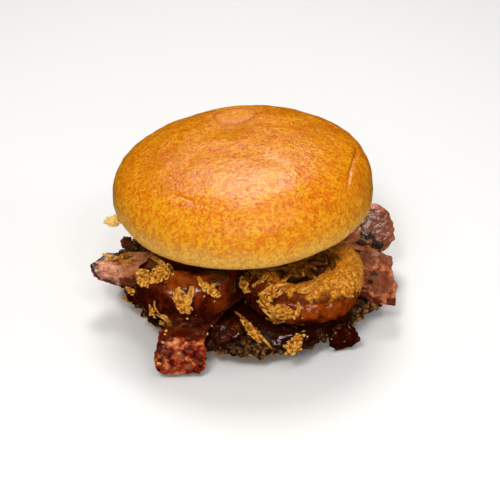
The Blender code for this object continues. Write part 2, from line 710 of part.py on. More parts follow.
def build():
    clear_scene()
    collection = bpy.data.collections.new(OBJECT_NAME)
    bpy.context.scene.collection.children.link(collection)

    crust = make_material("bun_crust", (0.72, 0.30, 0.05), 0.42)
    beef = make_material("beef", (0.075, 0.040, 0.024), 0.55)
    bacon = make_material("bacon", (0.42, 0.12, 0.07), 0.40)
    batter = make_material("onion_ring_batter", (0.52, 0.20, 0.03), 0.60)
    sauce = make_material("barbecue_sauce", (0.13, 0.012, 0.004), 0.12)
    onion = make_material("crispy_onion", (0.56, 0.25, 0.04), 0.55)
    crumb = make_material("bun_crumb", (0.80, 0.60, 0.25), 0.80)

    heel = make_heel(crust)
    patty = make_patty(beef)
    lower = make_rasher("bacon_rasher_lower", LOWER_RASHER, 0.4, [patty], bacon)
    upper = make_rasher("bacon_rasher_upper", UPPER_RASHER, 2.7, [patty, lower], bacon)
    left_ring = make_ring("onion_ring_left", LEFT_RING, batter)
    right_ring = make_ring("onion_ring_right", RIGHT_RING, batter)
    crown = make_crown(crust)
    left_coat = make_coat("sauce_coat_left", LEFT_RING, LEFT_COAT, sauce)
    right_coat = make_coat("sauce_coat_right", RIGHT_RING, RIGHT_COAT, sauce)
    base = [heel, patty, lower, upper]
    food = base + [left_ring, right_ring, crown, left_coat, right_coat]
    for name, pool in SAUCE_POOLS.items():
        food.append(make_patch(name, pool, food, sauce, POOL_DETAIL))
    heap = make_heap(base + [left_ring, right_ring], onion)
    rings = [left_ring, right_ring, left_coat, right_coat]
    food.append(heap)
    for name, tuft in TUFTS.items():
        food.append(make_tuft(name, tuft, rings, onion))
    for name, flake in ONION_FLAKES.items():
        look = {**FLAKE_LOOK, **flake}
        food.append(make_patch("crispy_flake_" + name, look, food, onion, FLAKE_DETAIL))
    food.append(make_lump("bacon_scrap_left", Vector((-0.0518, 0.0022, 0.0246)), (0.0030, 0.0013, 0.0036),
                          (20, -12), bacon))
    food.append(make_lump("bun_crumb_left", Vector((-0.0556, -0.0166, 0.0478)), (0.0036, 0.0024, 0.0020),
                          (10, 0), crumb))
    centre_on_box(food)


build()
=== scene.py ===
import math
import operator
import random

import bmesh
import bpy
from mathutils import Matrix, Vector, noise
from mathutils.bvhtree import BVHTree


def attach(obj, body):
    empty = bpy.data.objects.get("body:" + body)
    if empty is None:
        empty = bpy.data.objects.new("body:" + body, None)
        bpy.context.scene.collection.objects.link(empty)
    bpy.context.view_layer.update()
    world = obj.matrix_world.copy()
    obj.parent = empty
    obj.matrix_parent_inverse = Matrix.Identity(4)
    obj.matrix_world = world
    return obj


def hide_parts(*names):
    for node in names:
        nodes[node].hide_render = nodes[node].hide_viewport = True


# Barbecue bacon burger with onion rings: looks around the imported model.
# Lengths in the settings are millimetres, seen from the front: x right, y away, z up.

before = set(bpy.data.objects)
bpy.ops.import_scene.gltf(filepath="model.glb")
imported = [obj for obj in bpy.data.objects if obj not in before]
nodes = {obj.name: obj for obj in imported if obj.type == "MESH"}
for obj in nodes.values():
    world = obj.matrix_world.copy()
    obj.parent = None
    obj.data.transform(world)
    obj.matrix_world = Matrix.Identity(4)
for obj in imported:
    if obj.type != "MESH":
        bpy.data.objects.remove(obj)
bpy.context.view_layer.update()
scene = bpy.context.scene
scene.view_settings.view_transform = "Standard"
mm = 0.001

# Camera and light
view = {
    "lookAt": (1.9, -4.3, 26.7),
    "standAt": (-1.2, -590.8, 409.0),
    "lens": 114.55,
    "sensor": 36,
}
lampColours = {
    "white": (1.0, 1.0, 1.0),
    "soft": (1.0, 0.99, 0.97),
    "warm": (1.0, 0.98, 0.95),
    "amber": (1.0, 0.97, 0.93),
}
lights = {
    "top": {"from": (-40, 330, 640), "size": 230, "watts": 2.3, "colour": "warm", "shine": True},
    "front": {"from": (-160, -540, 700), "size": 180, "watts": 2.75, "colour": "soft", "shine": False},
    "low": {"from": (120, -760, 260), "size": 300, "watts": 0.7, "colour": "warm", "shine": False},
    "right": {"from": (620, -120, 330), "size": 160, "watts": 0.5, "colour": "amber", "shine": False},
    "sparkLeft": {"from": (60, -330, 640), "size": 80, "watts": 0.28, "colour": "white", "shine": True},
    "sparkRight": {"from": (190, -420, 560), "size": 80, "watts": 0.35, "colour": "white", "shine": True},
    "sparkLow": {"from": (-60, -600, 430), "size": 60, "watts": 0.22, "colour": "amber", "shine": True},
    "sparkSide": {"from": (-240, -430, 480), "size": 50, "watts": 0.13, "colour": "white", "shine": True},
    "sparkHigh": {"from": (40, -500, 560), "size": 50, "watts": 0.13, "colour": "white", "shine": True},
}
room = {
    "colour": (1.0, 1.0, 1.0),
    "strength": 0.24,
    "floorWidth": 4000,
    "floorSurface": {"Roughness": 0.7, "Specular IOR Level": 0.2},
    "floorColour": (0.95, 0.95, 0.945),
    "floorPatch": (0.95, 0.95, 0.94),
    "patchSize": 60,
}


def makeCamera():
    lens = bpy.data.cameras.new("camera")
    lens.lens = view["lens"]
    lens.sensor_width = view["sensor"]
    camera = bpy.data.objects.new("camera", lens)
    scene.collection.objects.link(camera)
    camera.location = Vector(view["standAt"]) * mm
    sight = (Vector(view["lookAt"]) - Vector(view["standAt"])) * mm
    camera.rotation_euler = sight.to_track_quat("-Z", "Y").to_euler()
    scene.camera = camera


def makeLight(name, look):
    light = bpy.data.lights.new(name, "AREA")
    light.size = look["size"] * mm
    light.energy = look["watts"]
    light.color = lampColours[look["colour"]]
    holder = bpy.data.objects.new(name, light)
    scene.collection.objects.link(holder)
    holder.visible_glossy = look["shine"]
    holder.location = Vector(look["from"]) * mm
    aim = Vector(view["lookAt"]) * mm - holder.location
    holder.rotation_euler = aim.to_track_quat("-Z", "Y").to_euler()


makeCamera()
for lightName, lightLook in lights.items():
    makeLight(lightName, lightLook)
world = bpy.data.worlds.new("studio")
world.use_nodes = True
world.node_tree.nodes["Background"].inputs["Color"].default_value = (*room["colour"], 1)
world.node_tree.nodes["Background"].inputs["Strength"].default_value = room["strength"]
world.cycles_visibility.glossy = False
scene.world = world
print("camera and light set")


# Shader sums: a Wire is a socket's output that adds Math nodes where it is added, multiplied and so on
class Wire:
    def __init__(self, finish, socket):
        self.finish = finish
        self.socket = socket

    def combine(self, operation, first, second, clamp=False):
        settings = {"operation": operation, "use_clamp": clamp}
        return self.finish.node("ShaderNodeMath", settings, {0: first, 1: second})

    def __add__(self, other):
        return self.combine("ADD", self, other)

    def __radd__(self, other):
        return self.combine("ADD", other, self)

    def __sub__(self, other):
        return self.combine("SUBTRACT", self, other)

    def __rsub__(self, other):
        return self.combine("SUBTRACT", other, self)

    def __mul__(self, other):
        return self.combine("MULTIPLY", self, other)

    def __rmul__(self, other):
        return self.combine("MULTIPLY", other, self)

    def clamped(self):
        return self.combine("ADD", self, 0, clamp=True)


# Painted shade in the hollows: how deep a hollow starts to darken and how deep it is darkest
hollowShade = (-0.05, 0.9)


# A finish is one material, its slot in the record and its nodes
class Finish:
    def __init__(self, name, slot, settings):
        self.slot = slot
        self.material = bpy.data.materials.new(name)
        self.material.use_nodes = True
        self.tree = self.material.node_tree
        self.shader = self.tree.nodes["Principled BSDF"]
        for socket, value in settings.items():
            self.shader.inputs[socket].default_value = value
        place = self.node("ShaderNodeTexCoord", {}, {}, "Object")
        self.place = self.node("ShaderNodeVectorMath", {"operation": "SCALE"}, {0: place, "Scale": 1 / mm})

    def node(self, kind, settings, inputs, output=0):
        made = self.tree.nodes.new(kind)
        stops = settings.get("stops")
        for key, value in settings.items():
            if key != "stops":
                setattr(made, key, value)
        if stops:
            ramp = made.color_ramp
            while len(ramp.elements) < len(stops):
                ramp.elements.new(0.5)
            for element, (position, colour) in zip(ramp.elements, stops):
                element.position = position
                element.color = (*colour, 1)
        for key, value in inputs.items():
            self.feed(made.inputs[key], value)
        return Wire(self, made.outputs[output])

    def feed(self, socket, value):
        if isinstance(value, Wire):
            self.tree.links.new(value.socket, socket)
        elif socket.type == "RGBA" and len(value) == 3:
            socket.default_value = (*value, 1)
        else:
            socket.default_value = value

    def cloud(self, grain, detail=3, roughness=0.5, distortion=0.0):
        # Noise whose features are about as many millimetres across as grain says
        inputs = {"Vector": self.place, "Scale": 1 / grain, "Detail": detail,
                  "Roughness": roughness, "Distortion": distortion}
        return self.node("ShaderNodeTexNoise", {}, inputs)

    def clouds(self, rows):
        return [self.cloud(*row) for row in rows.values()]

    def cells(self, grain):
        return self.node("ShaderNodeTexVoronoi", {}, {"Vector": self.place, "Scale": 1 / grain})

    def ramp(self, amount, stops):
        return self.node("ShaderNodeValToRGB", {"stops": stops}, {"Fac": amount})

    def between(self, amount, low, high, most=1.0):
        # 0 below low, most above high
        return self.node("ShaderNodeMapRange", {"interpolation_type": "SMOOTHSTEP"},
                         {"Value": amount, "From Min": low, "From Max": high, "To Max": most})

    def blend(self, amount, first, second):
        return self.node("ShaderNodeMix", {"data_type": "RGBA"}, {0: amount, 6: first, 7: second}, 2)

    def layer(self, name):
        # A number painted on the mesh's points
        return self.node("ShaderNodeAttribute", {"attribute_name": name}, {}, "Fac")

    def height(self):
        return self.node("ShaderNodeSeparateXYZ", {}, {0: self.place}, "Z")

    def bump(self, *reliefs):
        # Each relief is a height field and its depth in millimetres
        normal = None
        for field, depth in reliefs:
            inputs = {"Height": field, "Distance": depth * mm, "Strength": 1.0}
            if normal:
                inputs["Normal"] = normal
            normal = self.node("ShaderNodeBump", {}, inputs)
        self.feed(self.shader.inputs["Normal"], normal)

    def paintHollowShade(self, colour, dark, amount):
        # The colour with painted shade, darker in the hollows of the mesh where shade falls
        return self.blend(self.between(self.layer("hollow"), *hollowShade) * amount, colour, dark)

    def paint(self, **sockets):
        for name, value in sockets.items():
            self.feed(self.shader.inputs[name.replace("_", " ")], value)


# Mesh helpers
meshing = {
    "weldWithin": 1e-6,
    "smoothShare": 0.5,
    "lumpGain": 1.4,
    "spotCore": 0.45,
    "hollowGain": 3,
    "hollowSpread": 0.5,
}


def copyOfNode(*names):
    bm = bmesh.new()
    for name in names:
        bm.from_mesh(nodes[name].data)
    bmesh.ops.remove_doubles(bm, verts=bm.verts, dist=meshing["weldWithin"])
    return bm


def meshFrom(bm, name):
    mesh = bpy.data.meshes.new(name)
    bm.to_mesh(mesh)
    bm.free()
    return mesh


def remeshed(bm, voxel, smoothing):
    # An even fine skin over the shape, its facets rounded off
    holder = bpy.data.objects.new("remesh", meshFrom(bm, "remesh"))
    scene.collection.objects.link(holder)
    remesh = holder.modifiers.new("voxels", "REMESH")
    remesh.mode = "VOXEL"
    remesh.voxel_size = voxel * mm
    evaluated = holder.evaluated_get(bpy.context.evaluated_depsgraph_get())
    fine = bpy.data.meshes.new_from_object(evaluated)
    bpy.data.objects.remove(holder, do_unlink=True)
    bm = bmesh.new()
    bm.from_mesh(fine)
    for turn in range(smoothing):
        bmesh.ops.smooth_vert(bm, verts=bm.verts, factor=meshing["smoothShare"],
                              use_axis_x=True, use_axis_y=True, use_axis_z=True)
    bm.normal_update()
    return bm


def relief(bm, depthAt):
    # Moves each point along its normal by what depthAt(place in mm, normal) gives in mm
    bm.normal_update()
    moves = [vertex.normal * depthAt(vertex.co / mm, vertex.normal) * mm for vertex in bm.verts]
    for vertex, move in zip(bm.verts, moves):
        vertex.co += move
    bm.normal_update()


def ripple(place, grain, seed=0.0):
    return noise.noise(place / grain + Vector((seed, seed * 0.7, -seed)))


def crumble(place, grain, seed=0.0):
    # Rounded lumps with sharp valleys between them, 0 in a valley and 1 on a lump
    nearest = noise.voronoi(place / grain + Vector((seed, -seed, seed * 0.3)))[0]
    return min((nearest[1] - nearest[0]) * meshing["lumpGain"], 1)


def waves(place, rows):
    # Ripples added up, each row a height in mm, a grain in mm and a seed
    return sum(height * ripple(place, grain, seed) for height, grain, seed in rows)


def lumpy(place, height, grain, middle, seed=0.0):
    # Lumps of a height and a grain in mm, middle the share of the height that lies at the old surface
    return height * (crumble(place, grain, seed) - middle)


def smoothStep(low, high, value):
    share = min(max((value - low) / (high - low), 0), 1)
    return share * share * (3 - 2 * share)


def bell(away, width):
    # 1 at no distance, fading with a soft shoulder over the width
    return math.exp(-(away / width) ** 2)


def nearCurve(place, points):
    # Distance in mm from a place to a line through the points
    nearest = 1e9
    for start, end in zip(points, points[1:]):
        span = end - start
        share = min(max((place - start).dot(span) / span.length_squared, 0), 1)
        nearest = min(nearest, (place - start - span * share).length)
    return nearest


def pointsOf(rows):
    return [Vector(row) for row in rows]


def spotsAt(rows, ragged=0.5, grain=1.6):
    # Soft spots at x, y, z with a radius in mm and a strength, their edges frayed by noise
    spots = [(Vector(row[:3]), row[3], row[4]) for row in rows]

    def valueAt(place):
        fray = 1 + ragged * ripple(place, grain)
        return max(strength * (1 - smoothStep(meshing["spotCore"], 1.0,
                                              (place - centre).length * fray / radius))
                   for centre, radius, strength in spots)
    return valueAt


def hollowness(bm):
    # How far each point lies in a hollow, from about -1 on a crest to 1 in a valley
    bm.normal_update()
    values = []
    for vertex in bm.verts:
        around = [edge.other_vert(vertex).co for edge in vertex.link_edges]
        middle = sum(around, Vector()) / len(around)
        spacing = sum((place - vertex.co).length for place in around) / len(around)
        depth = (middle - vertex.co).dot(vertex.normal)
        values.append(depth / max(spacing, meshing["weldWithin"]) * meshing["hollowGain"])
    bm.verts.index_update()
    spread = meshing["hollowSpread"]
    softened = []
    for vertex in bm.verts:
        beside = [values[edge.other_vert(vertex).index] for edge in vertex.link_edges]
        softened.append((1 - spread) * values[vertex.index] + spread * sum(beside) / len(beside))
    return softened


def addPiece(name, bm, finish, replaced=(), layers=None):
    mesh = bpy.data.meshes.new(name)
    hollows = hollowness(bm)
    bm.to_mesh(mesh)
    bm.free()
    mesh.attributes.new("hollow", "FLOAT", "POINT").data.foreach_set("value", hollows)
    for layerName, valueAt in (layers or {}).items():
        values = [valueAt(vertex.co / mm) for vertex in mesh.vertices]
        mesh.attributes.new(layerName, "FLOAT", "POINT").data.foreach_set("value", values)
    mesh.shade_smooth()
    mesh.materials.append(finish.material)
    piece = bpy.data.objects.new(name, mesh)
    scene.collection.objects.link(piece)
    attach(piece, "root")
    if replaced:
        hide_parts(*replaced)
    print(name, len(mesh.polygons), "faces")


def curveThrough(points, share):
    # Catmull-Rom curve through the points, share 0 to 1
    last = len(points) - 1
    index = min(int(max(share, 0) * last), last - 1)
    step = share * last - index
    before, start, end, after = (points[min(max(index + away, 0), last)] for away in (-1, 0, 1, 2))
    bend = 2 * start + (end - before) * step + (2 * before - 5 * start + 4 * end - after) * step ** 2
    return 0.5 * (bend + (3 * start - before - 3 * end + after) * step ** 3)


shred = {
    "slopeOver": 0.04,
    "twistFrom": 0.4,
    "taperPower": 2.5,
    "fray": {"amount": 0.5, "along": 7, "across": 4},
    "curl": {"cup": 0.9, "along": 6, "across": 2, "seed": 7},
}


def ribbon(bm, points, width, thickness, facing, twist, crinkle, seed, steps, taper):
    # A shred along a curve through points in mm, its flat side turned to the facing direction
    strip = bmesh.new()
    bmesh.ops.create_grid(strip, x_segments=steps, y_segments=2, size=0.5)
    copied = bmesh.ops.extrude_face_region(strip, geom=strip.faces[:], use_keep_orig=True)["geom"]
    upper = [part for part in copied if isinstance(part, bmesh.types.BMVert)]
    bmesh.ops.translate(strip, vec=(0, 0, 1), verts=upper)
    fray, curl = shred["fray"], shred["curl"]
    for vertex in strip.verts:
        share = vertex.co.x + 0.5
        across = vertex.co.y
        ahead = curveThrough(points, min(share + shred["slopeOver"], 1))
        behind = curveThrough(points, max(share - shred["slopeOver"], 0))
        along = (ahead - behind).normalized()
        side = facing.cross(along).normalized()
        side = Matrix.Rotation(twist * (share - shred["twistFrom"]), 3, along) @ side
        narrow = 1 - taper * abs(2 * share - 1) ** shred["taperPower"]
        edge = noise.noise(Vector((share * fray["along"], across * fray["across"], seed)))
        ragged = 1 + fray["amount"] * edge
        wave = noise.noise(Vector((share * curl["along"], across * curl["across"], seed + curl["seed"])))
        lift = crinkle * (wave + curl["cup"] * (2 * across) ** 2)
        place = curveThrough(points, share) + side * width * across * narrow * ragged
        place += along.cross(side) * (lift + (vertex.co.z - 0.5) * thickness)
        vertex.co = place * mm
    bmesh.ops.recalc_face_normals(strip, faces=strip.faces)
    mesh = meshFrom(strip, "strip")
    bm.from_mesh(mesh)
    bpy.data.meshes.remove(mesh)


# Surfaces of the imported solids, for what is laid on them
def treeOf(names):
    bm = copyOfNode(*names)
    tree = BVHTree.FromBMesh(bm)
    bm.free()
    return tree


# Floor
floor = bmesh.new()
bmesh.ops.create_grid(floor, x_segments=1, y_segments=1, size=room["floorWidth"] / 2 * mm)
floorFinish = Finish("floorFinish", None, room["floorSurface"])
floorTone = floorFinish.blend(floorFinish.cloud(room["patchSize"]), room["floorColour"], room["floorPatch"])
floorFinish.paint(Base_Color=floorTone)
floorPiece = bpy.data.objects.new("floor", meshFrom(floor, "floor"))
floorPiece.data.materials.append(floorFinish.material)
scene.collection.objects.link(floorPiece)
floorPiece.visible_glossy = False


# Bun: crown and heel
bun = {
    "voxel": 0.6,
    "smoothing": 8,
    "topFrom": (44, 52),
    "topWaves": [(0.40, 11, 0), (0.16, 4.5, 3), (0.06, 1.8, 5)],
    "cutBelow": 47,
    "undersideTilt": -0.8,
    "cutWaves": [(0.30, 1.4, 8)],
    "navelWaves": [(0.35, 2.2, 4)],
    "heelVoxel": 0.9,
    "heelSmoothing": 4,
    "heelWaves": [(0.15, 6, 0)],
    "heelFlat": 0.6,
    "heelInset": 0.1,
    "surface": {"Specular IOR Level": 0.72, "Specular Tint": (1.0, 0.95, 0.88, 1)},
    "clouds": {"broad": (10, 3, 0.5), "blotch": (3.0, 3, 0.55, 0.3), "fleck": (1.15, 2, 0.6, 0.3),
               "fine": (0.5, 2, 0.6), "swell": (2.2, 3, 0.55)},
    "lowZone": (52, 70),
    "cutZone": (50.0, 59.0),
    "goldPatches": (0.42, 0.62),
    "fleckPatches": (0.50, 0.64, 0.85),
    "amberPatches": (0.55, 0.68, 0.75),
    "palePatches": (0.42, 0.58, 0.9),
    "scorchPatches": (0.40, 0.60, 0.8),
    "buffPatches": (0.40, 0.62),
    "gold": (0.80, 0.240, 0.001),
    "orange": (0.76, 0.188, 0.001),
    "amber": (0.48, 0.084, 0.001),
    "fleck": (0.86, 0.41, 0.010),
    "pale": (0.83, 0.395, 0.010),
    "rust": (0.66, 0.190, 0.001),
    "buff": (0.78, 0.45, 0.070),
    "shadeBuff": (0.60, 0.28, 0.020),
    "creaseShadeColour": (0.10, 0.022, 0.002),
    "tornPale": (0.86, 0.62, 0.28),
}
crownMarks = {
    "creases": [
        pointsOf([(47.9, 5.3, 71.6), (46.0, -4.9, 72.5), (44.3, -12.8, 72.2), (43.1, -19.1, 71.1),
                  (42.5, -24.0, 69.1)]),
        pointsOf([(-29.1, -30.2, 71.1), (-25.7, -32.9, 71.4), (-22.8, -34.9, 71.6), (-21.1, -37.3, 71.1)]),
        pointsOf([(28.2, 21.0, 76.8), (29.7, 15.6, 77.2), (31.2, 9.7, 77.5)]),
    ],
    "creaseDepths": (1.1, 0.35, 0.25),
    "creaseWidths": {"groove": 0.7, "shade": 0.6},
    "creaseShadeStrengths": (0.9, 0.5, 0.25),
    "scuffs": pointsOf([(42.5, -32.4, 54.3), (41.6, -34.2, 51.8), (40.4, -35.2, 49.6)]),
    "scuffWidth": 0.5,
    "dent": (Vector((-20.0, -39.0, 70.5)), 9.0, 0.9),
    "navel": (Vector((-4.5, 31.5, 75.5)), 9.5, 0.5),
    "pitDepth": 0.5,
    "navelWidths": {"groove": 2.2, "shade": 0.8, "puckers": 8, "pit": 1.6},
    "scorched": [(-31, -22, 72, 9, 0.55), (-23, -20, 74, 5, 0.8), (-5, -36, 74.5, 4, 0.7),
                 (-34, -4, 70, 12, 0.6), (-4.5, 18, 77, 12, 0.5), (-16, -27, 75, 4, 0.6),
                 (30, 12, 77, 14, 0.35), (46, -14, 68, 9, 0.5)],
}


def bunFinish():
    finish = Finish("bunCrust", "bun_crust", bun["surface"])
    broad, blotch, fleck, fine, swell = finish.clouds(bun["clouds"])
    height = finish.height()
    low = 1 - finish.between(height + (broad - 0.5) * 16, *bun["lowZone"])
    base = finish.blend(finish.between(broad, *bun["goldPatches"]), bun["gold"], bun["orange"])
    flecked = finish.between(fleck + (blotch - 0.5) * 0.6, *bun["fleckPatches"])
    upper = finish.blend(flecked, base, bun["fleck"])
    browned = finish.between(1 - fleck - (blotch - 0.5) * 0.4, *bun["amberPatches"])
    upper = finish.blend(browned, upper, bun["amber"])
    mottled = finish.between(blotch + (fleck - 0.5) * 0.6, *bun["palePatches"])
    colour = finish.blend(low, upper, finish.blend(mottled, bun["rust"], bun["pale"]))
    scorched = finish.layer("scorch").clamped() * finish.between(blotch, *bun["scorchPatches"])
    colour = finish.blend(scorched, colour, bun["amber"])
    edge = 1 - finish.between(height + (blotch - 0.5) * 10 + (broad - 0.5) * 8, *bun["cutZone"])
    cut = finish.blend(finish.between(fleck, *bun["buffPatches"]), bun["shadeBuff"], bun["buff"])
    colour = finish.blend(edge * 0.9, colour, cut)
    colour = finish.blend(finish.layer("navel").clamped() * 0.7, colour, bun["amber"])
    # Painted shade: dark lines along the creases
    colour = finish.blend(finish.layer("creaseShade").clamped(), colour, bun["creaseShadeColour"])
    colour = finish.blend(finish.layer("scuff").clamped(), colour, bun["tornPale"])
    dull = finish.layer("dull").clamped()
    finish.paint(Base_Color=colour, Roughness=0.17 + 0.15 * fine + 0.35 * edge + 0.35 * dull)
    finish.bump((swell, 0.26), (fleck, 0.28), (fine, 0.12))
    return finish


def creaseAt(place, width):
    return [bell(nearCurve(place, line), width) for line in crownMarks["creases"]]


def makeCrown(finish):
    bm = remeshed(copyOfNode("bun_crown"), bun["voxel"], bun["smoothing"])
    dentCentre, dentRadius, dentDepth = crownMarks["dent"]
    navelCentre, navelRadius, navelDepth = crownMarks["navel"]
    widths = crownMarks["navelWidths"]
    grooveWidth = crownMarks["creaseWidths"]["groove"]

    def depthAt(place, normal):
        depth = smoothStep(*bun["topFrom"], place.z) * waves(place, bun["topWaves"])
        if place.z < bun["cutBelow"] and normal.z > bun["undersideTilt"]:
            depth += waves(place, bun["cutWaves"])
        for amount, deep in zip(creaseAt(place, grooveWidth), crownMarks["creaseDepths"]):
            depth -= deep * amount
        depth -= dentDepth * bell((place - dentCentre).length, dentRadius)
        away = (place - navelCentre).length
        depth -= navelDepth * bell(away - navelRadius, widths["groove"])
        puckers = waves(place, bun["navelWaves"]) * bell(away, widths["puckers"])
        depth += puckers - crownMarks["pitDepth"] * bell(away, widths["pit"])
        return depth
    relief(bm, depthAt)
    shadeWidth = crownMarks["creaseWidths"]["shade"]
    layers = {
        # Painted shade along the creases
        "creaseShade": lambda place: max(map(operator.mul, creaseAt(place, shadeWidth),
                                        crownMarks["creaseShadeStrengths"])),
        "dull": lambda place: math.exp(-((place - navelCentre).length / (navelRadius + 2)) ** 4),
        "navel": lambda place: bell((place - navelCentre).length - navelRadius, widths["shade"]),
        "scuff": lambda place: 1.2 * bell(nearCurve(place, crownMarks["scuffs"]), crownMarks["scuffWidth"]),
        "scorch": spotsAt(crownMarks["scorched"], 0.4, 6.0),
    }
    addPiece("bunCrown", bm, finish, ["bun_crown"], layers)


def makeHeel(finish):
    bm = remeshed(copyOfNode("bun_heel"), bun["heelVoxel"], bun["heelSmoothing"])

    def depthAt(place, normal):
        # The underside stays flat
        return 0 if place.z < bun["heelFlat"] else waves(place, bun["heelWaves"]) - bun["heelInset"]
    relief(bm, depthAt)
    addPiece("bunHeel", bm, finish, ["bun_heel"])


crust = bunFinish()
makeCrown(crust)
makeHeel(crust)
print("bun made")


# Beef patty
beef = {
    "voxel": 0.7,
    "smoothing": 2,
    "lumps": (2.8, 4.4, 0.5),
    "waves": [(0.45, 1.6, 2)],
    "rimFrom": (40, 50),
    "wetCalm": 0.85,
    "wetRise": 0.7,
    "surface": {"Specular IOR Level": 0.40, "Specular Tint": (1.0, 0.85, 0.7, 1)},
    "clouds": {"grain": (1.7, 4, 0.6, 0.5), "broad": (4.5, 3), "bits": (1.8, 2, 0.5)},
    "cells": 2.6,
    "meat": [(0.38, (0.004, 0.002, 0.001)), (0.47, (0.030, 0.011, 0.002)),
             (0.54, (0.150, 0.052, 0.010)), (0.62, (0.46, 0.190, 0.040))],
    "burnt": (0.018, 0.007, 0.002),
    "gap": (0.003, 0.0015, 0.0005),
    "bit": (0.30, 0.100, 0.010),
    "burntPatches": (0.5, 0.66, 0.6),
    "bitPatches": (0.62, 0.68, 0.6),
    "saucePatches": (0.50, 0.85),
    # Sauce on the patty; the spots further back, under the rings and the crown, are painted shade. Each is x,
    # y, z, a radius and a strength
    "sauceAndShade": [(-14, -50, 16, 9, 1.2), (-4, -46, 17, 10, 1.2), (6, -48, 16, 10, 1.2),
               (15, -50, 15, 9, 1.2), (25, -48, 15, 9, 1.2), (35, -42, 16, 9, 1.2), (42, -38, 15, 7, 0.9),
               (-40, -38, 16, 9, 1.0), (18, -57, 12, 4, 1.0), (-10, -54, 14, 5, 1.1),
               (-6, -38, 19, 11, 1.4), (6, -38, 19, 10, 1.4), (-2, -28, 20, 12, 1.4)],
}
sauceColours = {"dark": (0.020, 0.0016, 0.0005), "deep": (0.075, 0.0065, 0.0008),
                "warm": (0.20, 0.026, 0.0012), "bright": (0.40, 0.078, 0.0030)}


def beefFinish():
    finish = Finish("grilledBeef", "beef", beef["surface"])
    grain, broad, bits = finish.clouds(beef["clouds"])
    meat = finish.ramp(grain, beef["meat"])
    meat = finish.blend(finish.between(broad, *beef["burntPatches"]), meat, beef["burnt"])
    # Painted shade in the hollows of the mince
    meat = finish.paintHollowShade(meat, beef["gap"], 1.0)
    meat = finish.blend(finish.between(bits, *beef["bitPatches"]), meat, beef["bit"])
    # Sauce on the patty, and painted shade where it lies under the rings
    sauceAndShade = (finish.layer("sauceAndShade") + (grain - 0.5) * 0.8).clamped()
    wet = finish.blend(finish.between(broad, *beef["saucePatches"]), sauceColours["dark"],
                       sauceColours["deep"])
    colour = finish.blend(sauceAndShade, meat, wet)
    finish.paint(Base_Color=colour, Roughness=0.40 - 0.30 * sauceAndShade + 0.2 * grain)
    finish.bump((finish.cells(beef["cells"]), 0.5), (grain, 0.5))
    return finish


def makePatty(finish):
    bm = remeshed(copyOfNode("beef_patty"), beef["voxel"], beef["smoothing"])
    sauceAndShade = spotsAt(beef["sauceAndShade"])

    def depthAt(place, normal):
        out = smoothStep(*beef["rimFrom"], math.hypot(place.x, place.y))
        rough = lumpy(place, *beef["lumps"]) + waves(place, beef["waves"])
        wet = min(sauceAndShade(place), 1)
        return out * (rough * (1 - beef["wetCalm"] * wet) + beef["wetRise"] * wet)
    relief(bm, depthAt)
    addPiece("beefPatty", bm, finish, ["beef_patty"], {"sauceAndShade": sauceAndShade})


makePatty(beefFinish())
print("patty made")


# Bacon
bacon = {
    "voxel": 0.5,
    "smoothing": 8,
    "tailFrom": (-46, -56),
    "searedFrom": (-44, -54),
    "rimWaves": [(1.8, 4.5, 9), (0.8, 2, 2)],
    "faceWaves": [(0.25, 0.4, 2.6, 0), (0.08, 0.2, 1.1, 4)],
    "surface": {"Specular IOR Level": 0.50, "Specular Tint": (1.0, 0.9, 0.85, 1)},
    "clouds": {"mottle": (2.2, 2, 0.5, 0.4), "grain": (0.6, 2, 0.5), "broad": (6.0, 3, 0.5, 0.5)},
    "cured": [(0.34, (0.30, 0.050, 0.018)), (0.45, (0.54, 0.150, 0.055)),
              (0.54, (0.70, 0.26, 0.110)), (0.66, (0.82, 0.42, 0.19))],
    "seared": [(0.40, (0.030, 0.002, 0.001)), (0.48, (0.17, 0.010, 0.002)),
               (0.55, (0.42, 0.050, 0.008)), (0.64, (0.80, 0.32, 0.10))],
    "smoked": ((0.08, 0.011, 0.005), (0.22, 0.050, 0.022)),
    "glazeAndShadeTones": ((0.025, 0.002, 0.0005), (0.16, 0.016, 0.003)),
    "fat": (0.42, 0.15, 0.05),
    "speck": (0.05, 0.012, 0.005),
    "speckPatches": (0.88, 0.95, 0.6),
    "gap": (0.055, 0.008, 0.003),
    "char": (0.030, 0.010, 0.004),
}
scrapMarks = {"voxel": 0.35, "smoothing": 2, "waves": [(0.7, 2.4, 0)], "lumps": (0.6, 1.8, 0.4)}
